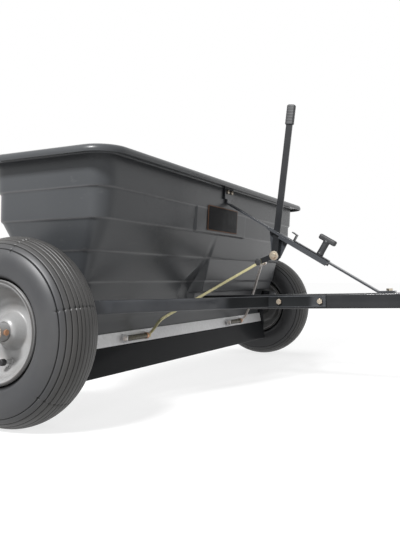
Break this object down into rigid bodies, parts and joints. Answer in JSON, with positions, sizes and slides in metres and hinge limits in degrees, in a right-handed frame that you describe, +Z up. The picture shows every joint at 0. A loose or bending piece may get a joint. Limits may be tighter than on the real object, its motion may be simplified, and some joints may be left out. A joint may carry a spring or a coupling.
{
  "type": "tow-behind drop spreader",
  "caption": "Tow-behind drop spreader: a long stepped hopper on two wheels with a towing tongue, a lever-worked closure plate and an adjustable stop.",
  "frame": {"origin": "on the ground under the middle of the overall length and width", "axes": "+Z up; +X along the axle towards the free wheel; -Y forwards, towards the hitch"},
  "size_m": [1.32, 1.1436, 0.685],
  "materials": {
    "black_poly": "moulded polyethylene, semi-matt",
    "black_paint": "powder coat",
    "black_plastic": "moulded",
    "tyre_rubber": "dark grey rubber",
    "rim_silver": "silver paint",
    "galvanised": "galvanised",
    "bare_steel": "bright",
    "yellow_zinc": "yellow zinc plate",
    "bright_zinc": "zinc plate",
    "white_nylon": "nylon"
  },
  "bodies": {
    "root": {"hopper": "black_poly", "metering_plate": "galvanised", "near_end_plate": "black_paint", "far_end_plate": "black_paint", "near_axle_bush": "white_nylon", "far_axle_bush": "white_nylon", "deflector": "black_paint", "near_brace": "black_paint", "far_brace": "black_paint", "tongue": "black_paint", "brace_bolt_rear": "bright_zinc", "brace_bolt_front": "bright_zinc", "hitch_plate_top": "black_paint", "hitch_plate_bottom": "black_paint", "hitch_bolt_front": "bright_zinc", "hitch_bolt_rear": "bright_zinc", "strut": "black_paint", "strut_bolt_near": "bright_zinc", "strut_bolt_far": "bright_zinc", "strut_foot_bolt": "bright_zinc", "gauge_channel": "black_paint", "pivot_bolt": "bright_zinc", "pivot_spacer": "bright_zinc"},
    "drive_axle": {"axle": "bare_steel", "agitator": "bare_steel", "near_axle_spacer": "bare_steel", "far_axle_spacer": "bare_steel", "near_wheel_washer": "bright_zinc", "far_wheel_washer": "bright_zinc", "near_cotter_pin": "bright_zinc", "far_cotter_pin": "bright_zinc", "drive_bolt": "bright_zinc", "near_tyre": "tyre_rubber", "near_rim_outer": "rim_silver", "near_rim_inner": "rim_silver", "near_hub": "rim_silver", "near_valve_stem": "black_plastic"},
    "far_wheel": {"far_tyre": "tyre_rubber", "far_rim_outer": "rim_silver", "far_rim_inner": "rim_silver", "far_hub": "rim_silver", "far_valve_stem": "black_plastic"},
    "lever": {"lever": "black_paint", "lever_grip": "black_plastic", "link_pin": "bright_zinc"},
    "closure": {"closure_plate": "galvanised", "near_link_bracket": "galvanised", "far_link_bracket": "galvanised", "near_link_bolt": "bright_zinc", "far_link_bolt": "bright_zinc", "near_link_sleeve": "black_plastic", "far_link_sleeve": "black_plastic"},
    "near_link": {"near_link": "yellow_zinc"},
    "far_link": {"far_link": "yellow_zinc"},
    "stop": {"flow_stop": "black_paint", "stop_bolt": "bright_zinc"},
    "knob": {"t_knob": "black_plastic"},
    "hitch_pin": {"hitch_pin": "bright_zinc", "hitch_clip": "bright_zinc"}
  },
  "joints": [
    {"name": "drive_axle_spin", "type": "hinge", "parent": "root", "child": "drive_axle", "pos_m": [0, 0.39879, 0.1651], "axis": [1, 0, 0], "continuous": true},
    {"name": "far_wheel_spin", "type": "hinge", "parent": "root", "child": "far_wheel", "pos_m": [0.60025, 0.39879, 0.1651], "axis": [1, 0, 0], "continuous": true},
    {"name": "lever_pivot", "type": "hinge", "parent": "root", "child": "lever", "pos_m": [0, 0.13179, 0.3111], "axis": [1, 0, 0], "range_deg": [0, 26]},
    {"name": "closure_slide", "type": "slide", "parent": "root", "child": "closure", "axis": [0, -1, 0], "range_m": [0, 0.01757]},
    {"name": "near_link_hinge", "type": "hinge", "parent": "closure", "child": "near_link", "pos_m": [-0.2335, 0.34919, 0.1293], "axis": [1, 0, 0], "range_deg": [-6.54, 0]},
    {"name": "far_link_hinge", "type": "hinge", "parent": "closure", "child": "far_link", "pos_m": [0.2985, 0.34919, 0.1293], "axis": [1, 0, 0], "range_deg": [-6.54, 0]},
    {"name": "stop_slide", "type": "slide", "parent": "root", "child": "stop", "axis": [0, -0.8586, -0.5126], "range_m": [-0.02, 0.01]},
    {"name": "knob_turn", "type": "hinge", "parent": "stop", "child": "knob", "pos_m": [0, 0.02069, 0.30905], "axis": [0, -0.5126, 0.8586], "continuous": true},
    {"name": "hitch_pin_turn", "type": "hinge", "parent": "root", "child": "hitch_pin", "pos_m": [0, -0.5512, 0.21816], "axis": [0, 0.0269, 0.9996], "continuous": true}
  ],
  "couplings": [
    {"joint": "closure_slide", "follows": "lever_pivot", "m_per_rad": 0.038712},
    {"joint": "near_link_hinge", "follows": "lever_pivot", "ratio": -0.25116},
    {"joint": "far_link_hinge", "follows": "lever_pivot", "ratio": -0.25116}
  ]
}
